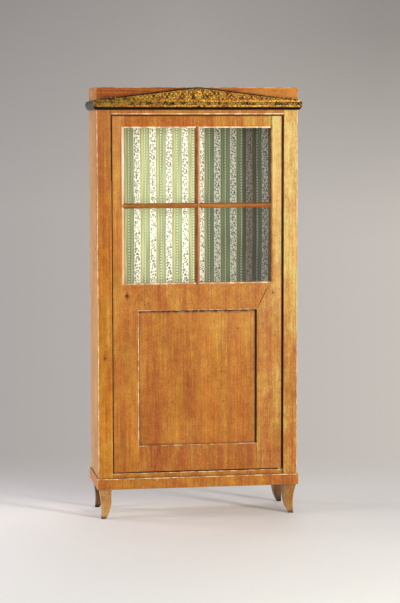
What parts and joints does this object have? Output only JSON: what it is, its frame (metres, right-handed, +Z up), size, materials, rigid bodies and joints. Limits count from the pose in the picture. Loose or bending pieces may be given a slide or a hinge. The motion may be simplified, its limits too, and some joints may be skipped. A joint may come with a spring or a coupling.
{
  "type": "display cabinet",
  "caption": "Tall display cabinet with a barred glass upper door over a wood panel, a low gilt pediment on a torus cornice, a striped fabric lining and sabre feet.",
  "frame": {"origin": "on the floor under the middle of the whole cabinet", "axes": "+X to the right seen from the front, +Y to the back, +Z up; the door faces -Y"},
  "size_m": [0.906, 0.327, 1.86],
  "materials": {
    "cherry": "gloss shellac polish",
    "pine": "bare, aged",
    "ebonised_wood": "black polish with gilt relief on the front",
    "inlay_wood": "gloss shellac polish",
    "glass": "clear sheet glass",
    "fabric": "woven stripe",
    "brass": "dull, aged",
    "iron": "dark, aged"
  },
  "bodies": {
    "case": {"leg_front_left": "cherry", "leg_front_right": "cherry", "leg_rear_left": "cherry", "leg_rear_right": "cherry", "corner_blocks": "pine", "plinth_front": "cherry", "plinth_left": "cherry", "plinth_right": "cherry", "plinth_back": "pine", "side_left": "cherry", "side_right": "cherry", "top_board": "pine", "bottom_board": "pine", "stile_left": "cherry", "stile_right": "cherry", "top_rail": "cherry", "bottom_rail": "cherry", "back_board_1": "pine", "back_board_2": "pine", "back_board_3": "pine", "middle_shelf": "pine", "lower_shelf": "pine", "shelf_cleats": "pine", "door_stop": "cherry", "door_stop_top": "cherry", "fabric_lining": "fabric", "attic_front": "cherry", "attic_left": "cherry", "attic_right": "cherry", "attic_back": "pine", "attic_lid": "pine", "cornice_front": "ebonised_wood", "cornice_left": "ebonised_wood", "cornice_right": "ebonised_wood", "pediment": "ebonised_wood", "case_pivots": "brass", "pivot_washer": "brass", "strike_plate": "brass", "case_screws": "iron"},
    "door": {"door_lock_stile": "cherry", "door_hinge_stile": "cherry", "door_top_rail": "cherry", "door_middle_rail": "cherry", "door_bottom_rail": "cherry", "door_panel": "cherry", "muntin_vertical": "cherry", "muntin_left": "cherry", "muntin_right": "cherry", "pane_upper_left": "glass", "pane_upper_right": "glass", "pane_lower_left": "glass", "pane_lower_right": "glass", "glazing_beads": "cherry", "door_pivots": "brass", "escutcheon": "inlay_wood", "lock_plate": "iron", "lock_cap": "iron", "lock_spring": "iron", "door_screws": "iron"},
    "bolt": {"lock_bolt": "iron"}
  },
  "joints": [
    {"name": "door_hinge", "type": "hinge", "parent": "case", "child": "door", "pos_m": [0.357, -0.1305, 0.202], "axis": [0, 0, 1], "range_deg": [0, 110]},
    {"name": "bolt_slide", "type": "slide", "parent": "door", "child": "bolt", "axis": [-1, 0, 0], "range_m": [0, 0.01]}
  ]
}
